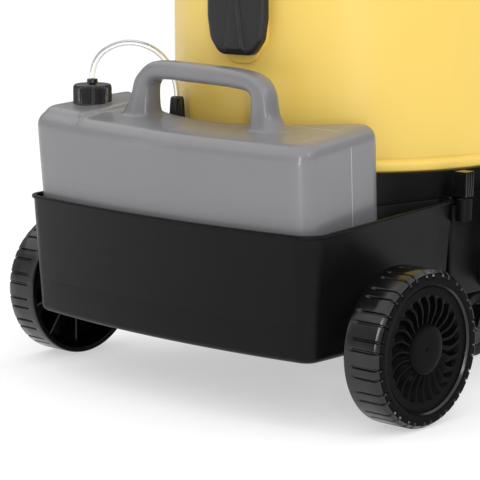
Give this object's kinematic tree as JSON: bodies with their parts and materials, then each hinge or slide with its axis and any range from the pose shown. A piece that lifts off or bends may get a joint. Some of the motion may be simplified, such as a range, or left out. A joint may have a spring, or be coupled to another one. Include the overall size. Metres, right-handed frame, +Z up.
{
  "type": "carpet cleaner machine",
  "caption": "Wheeled wet pick-up carpet cleaner with a round yellow drum, motor head, rear basket and lift-out grey detergent tank.",
  "frame": {"origin": "on the floor, under the middle of the machine's outline", "axes": "+Z up; -Y is the machine's front, +Y its rear, where the basket and big wheels are; X runs along the rear axle"},
  "size_m": [0.644, 0.6332, 0.79],
  "materials": {
    "yellow_plastic": "satin moulded yellow",
    "black_plastic": "semi-gloss black",
    "satin_black_plastic": "fine-textured satin black",
    "grey_hdpe": "blow-moulded, semi-gloss grey",
    "rubber": "matt black rubber",
    "steel": "zinc-plated",
    "white_plastic": "natural white",
    "brass": "machined",
    "red_plastic": "gloss",
    "clear_pvc": "clear flexible PVC"
  },
  "bodies": {
    "chassis": {"base_frame": "satin_black_plastic", "rear_axle": "steel", "axle_bracket_left": "black_plastic", "axle_bracket_right": "black_plastic", "caster_plate_left": "steel", "caster_plate_right": "steel", "basket_pin_left": "black_plastic", "basket_pin_right": "black_plastic", "rear_basket": "satin_black_plastic", "inlet_stub": "black_plastic", "drum": "yellow_plastic", "drum_inlet": "black_plastic", "pump_bracket": "steel", "solution_pump": "black_plastic", "coupling_body": "brass", "drain_outlet": "black_plastic", "drain_hose": "rubber", "hose_clip": "black_plastic"},
    "wheel_left": {"rear_wheel_left": "black_plastic", "hub_cap_left": "black_plastic"},
    "wheel_right": {"rear_wheel_right": "black_plastic", "hub_cap_right": "black_plastic"},
    "caster_left": {"caster_fork_left": "black_plastic", "caster_axle_left": "steel"},
    "caster_right": {"caster_fork_right": "black_plastic", "caster_axle_right": "steel"},
    "caster_roller_left": {"caster_wheel_left": "rubber"},
    "caster_roller_right": {"caster_wheel_right": "rubber"},
    "tank": {"detergent_tank": "grey_hdpe", "hose_collar": "black_plastic", "dip_tube": "clear_pvc", "clear_hose": "clear_pvc", "hose_connector": "black_plastic"},
    "cap": {"tank_cap": "black_plastic"},
    "rear_latch": {"latch_rear": "black_plastic"},
    "front_latch": {"latch_front": "black_plastic"},
    "coupling_collar": {"coupling_sleeve": "steel"},
    "outlet_cap": {"drain_cap": "black_plastic"},
    "head": {"head_base": "black_plastic", "latch_pin_rear": "steel", "latch_pin_front": "steel", "head_gasket": "rubber", "head_cover": "yellow_plastic", "carry_handle": "black_plastic", "switch_panel": "black_plastic", "cord_gland": "black_plastic", "fan_housing": "steel", "vacuum_motor": "steel", "filter_cage": "white_plastic"},
    "fan": {"fan_rotor": "steel"},
    "float": {"float_ball": "white_plastic"},
    "rocker_motor_a": {"switch_motor_a": "red_plastic"},
    "rocker_motor_b": {"switch_motor_b": "red_plastic"},
    "rocker_pump": {"switch_pump": "red_plastic"}
  },
  "joints": [
    {"name": "wheel_left_spin", "type": "hinge", "parent": "chassis", "child": "wheel_left", "pos_m": [0.296, 0.17108, 0.095], "axis": [1, 0, 0], "continuous": true},
    {"name": "wheel_right_spin", "type": "hinge", "parent": "chassis", "child": "wheel_right", "pos_m": [-0.296, 0.17108, 0.095], "axis": [1, 0, 0], "continuous": true},
    {"name": "tank_lift", "type": "slide", "parent": "chassis", "child": "tank", "axis": [0, 0, 1], "range_m": [0, 0.19]},
    {"name": "cap_turn", "type": "hinge", "parent": "tank", "child": "cap", "pos_m": [0.195, 0.22308, 0.365], "axis": [0, 0, 1], "continuous": true},
    {"name": "head_lift", "type": "slide", "parent": "chassis", "child": "head", "axis": [0, 0, 1], "range_m": [0, 0.25]},
    {"name": "fan_spin", "type": "hinge", "parent": "head", "child": "fan", "pos_m": [0, -0.06052, 0.62], "axis": [0, 0, 1], "continuous": true},
    {"name": "float_rise", "type": "slide", "parent": "head", "child": "float", "axis": [0, 0, 1], "range_m": [0, 0.055]},
    {"name": "coupling_pull", "type": "slide", "parent": "chassis", "child": "coupling_collar", "axis": [-0.766, 0.6428, 0], "range_m": [0, 0.005], "stiffness_N_per_m": 400},
    {"name": "drain_cap_turn", "type": "hinge", "parent": "chassis", "child": "outlet_cap", "pos_m": [-0.2637, -0.05452, 0.25], "axis": [0, 0, 1], "continuous": true},
    {"name": "caster_left_swivel", "type": "hinge", "parent": "chassis", "child": "caster_left", "pos_m": [0.125, -0.20552, 0.11], "axis": [0, 0, 1], "continuous": true},
    {"name": "caster_left_roll", "type": "hinge", "parent": "caster_left", "child": "caster_roller_left", "pos_m": [0.125, -0.17352, 0.045], "axis": [1, 0, 0], "continuous": true},
    {"name": "caster_right_swivel", "type": "hinge", "parent": "chassis", "child": "caster_right", "pos_m": [-0.125, -0.20552, 0.11], "axis": [0, 0, 1], "continuous": true},
    {"name": "caster_right_roll", "type": "hinge", "parent": "caster_right", "child": "caster_roller_right", "pos_m": [-0.125, -0.17352, 0.045], "axis": [1, 0, 0], "continuous": true},
    {"name": "rear_latch_swing", "type": "hinge", "parent": "head", "child": "rear_latch", "pos_m": [-0.02557, 0.18274, 0.606], "axis": [0.9945, 0.1045, 0], "range_deg": [0, 75]},
    {"name": "front_latch_swing", "type": "hinge", "parent": "head", "child": "front_latch", "pos_m": [0.02557, -0.30378, 0.606], "axis": [-0.9945, -0.1045, 0], "range_deg": [0, 75]},
    {"name": "switch_motor_a_rock", "type": "hinge", "parent": "head", "child": "rocker_motor_a", "pos_m": [-0.045, -0.25052, 0.6783], "axis": [1, 0, 0], "range_deg": [-16, 0]},
    {"name": "switch_motor_b_rock", "type": "hinge", "parent": "head", "child": "rocker_motor_b", "pos_m": [0, -0.25052, 0.6783], "axis": [1, 0, 0], "range_deg": [-16, 0]},
    {"name": "switch_pump_rock", "type": "hinge", "parent": "head", "child": "rocker_pump", "pos_m": [0.045, -0.25052, 0.6783], "axis": [1, 0, 0], "range_deg": [-16, 0]}
  ]
}
